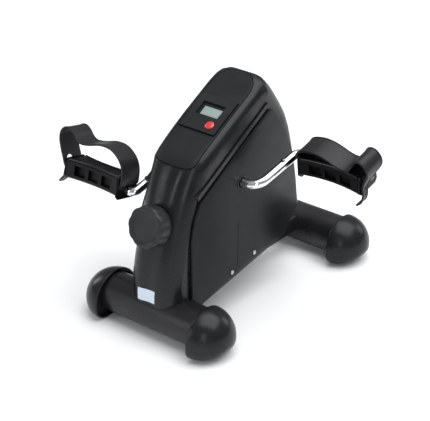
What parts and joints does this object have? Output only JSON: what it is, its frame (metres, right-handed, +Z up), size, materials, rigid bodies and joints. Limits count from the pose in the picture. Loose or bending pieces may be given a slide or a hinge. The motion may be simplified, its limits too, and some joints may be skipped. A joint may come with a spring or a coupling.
{
  "type": "pedal exerciser",
  "caption": "Mini exercise bike with a slim moulded housing on floor tubes, bent chrome cranks, strapped pedals, tension knob and small computer.",
  "frame": {"origin": "middle of the base on the floor, halfway between the two floor tubes", "axes": "+X to the right across the machine, +Y from the knob end towards the rear tube, +Z up"},
  "size_m": [0.4139, 0.404, 0.32],
  "materials": {
    "black_plastic": "satin moulded",
    "black_paint": "satin powder coat",
    "pedal_plastic": "moulded, lightly worn",
    "strap_rubber": "smooth, soft",
    "chrome": "polished",
    "steel": "zinc plated",
    "cast_iron": "machined",
    "nylon": "natural",
    "lcd_glass": "LCD behind clear plastic",
    "board_green": "lacquered circuit board",
    "button_red": "glossy red",
    "label_white": "printed sticker, left blank"
  },
  "bodies": {
    "frame": {"front_floor_tube": "black_paint", "rear_floor_tube": "black_paint", "frame_spine": "black_paint", "front_left_cap": "black_plastic", "front_right_cap": "black_plastic", "rear_left_cap": "black_plastic", "rear_right_cap": "black_plastic", "housing_shell": "black_plastic", "console_insert": "black_plastic", "computer_bezel": "black_plastic", "reed_sensor": "black_plastic", "left_side_cover": "black_plastic", "right_side_cover": "black_plastic", "left_cover_bead": "black_plastic", "right_cover_bead": "black_plastic", "axle_bracket": "steel", "carriage_guide": "steel", "left_cover_screw_1": "steel", "right_cover_screw_1": "steel", "left_cover_screw_2": "steel", "right_cover_screw_2": "steel", "knob_bush": "nylon", "brake_band": "nylon", "left_axle_bush": "nylon", "right_axle_bush": "nylon", "lcd_display": "lcd_glass", "computer_board": "board_green", "info_label": "label_white", "left_hole_ring": "strap_rubber", "right_hole_ring": "strap_rubber", "sensor_cable": "strap_rubber"},
    "crank": {"crank_axle": "steel", "drive_wheel": "cast_iron", "wheel_magnet": "steel", "left_crank_arm": "chrome", "right_crank_arm": "chrome", "left_crank_pin": "steel", "right_crank_pin": "steel", "left_pedal_spindle": "steel", "right_pedal_spindle": "steel"},
    "left_pedal": {"left_pedal_body": "pedal_plastic", "left_pedal_inner_plate": "pedal_plastic", "left_pedal_outer_plate": "pedal_plastic", "left_pedal_strap": "strap_rubber"},
    "right_pedal": {"right_pedal_body": "pedal_plastic", "right_pedal_inner_plate": "pedal_plastic", "right_pedal_outer_plate": "pedal_plastic", "right_pedal_strap": "strap_rubber"},
    "knob": {"tension_knob": "black_plastic", "tension_screw": "steel"},
    "carriage": {"tension_carriage": "nylon"},
    "button": {"reset_button": "button_red"}
  },
  "joints": [
    {"name": "crank_spin", "type": "hinge", "parent": "frame", "child": "crank", "pos_m": [0, -0.0409, 0.1909], "axis": [1, 0, 0], "continuous": true},
    {"name": "left_pedal_spin", "type": "hinge", "parent": "crank", "child": "left_pedal", "pos_m": [-0.15, -0.11254, 0.16268], "axis": [1, 0, 0], "continuous": true},
    {"name": "right_pedal_spin", "type": "hinge", "parent": "crank", "child": "right_pedal", "pos_m": [0.15, 0.03074, 0.21912], "axis": [1, 0, 0], "continuous": true},
    {"name": "knob_turn", "type": "hinge", "parent": "frame", "child": "knob", "pos_m": [0, -0.1625, 0.1627], "axis": [0, 0.9613, -0.2756], "range_deg": [0, 720]},
    {"name": "carriage_slide", "type": "slide", "parent": "frame", "child": "carriage", "axis": [0, 0.9613, -0.2756], "range_m": [0, 0.0025]},
    {"name": "button_press", "type": "slide", "parent": "frame", "child": "button", "axis": [0, 0.4633, -0.8862], "range_m": [0, 0.0012], "stiffness_N_per_m": 600}
  ],
  "couplings": [
    {"joint": "carriage_slide", "follows": "knob_turn", "m_per_rad": 0.00019894}
  ]
}
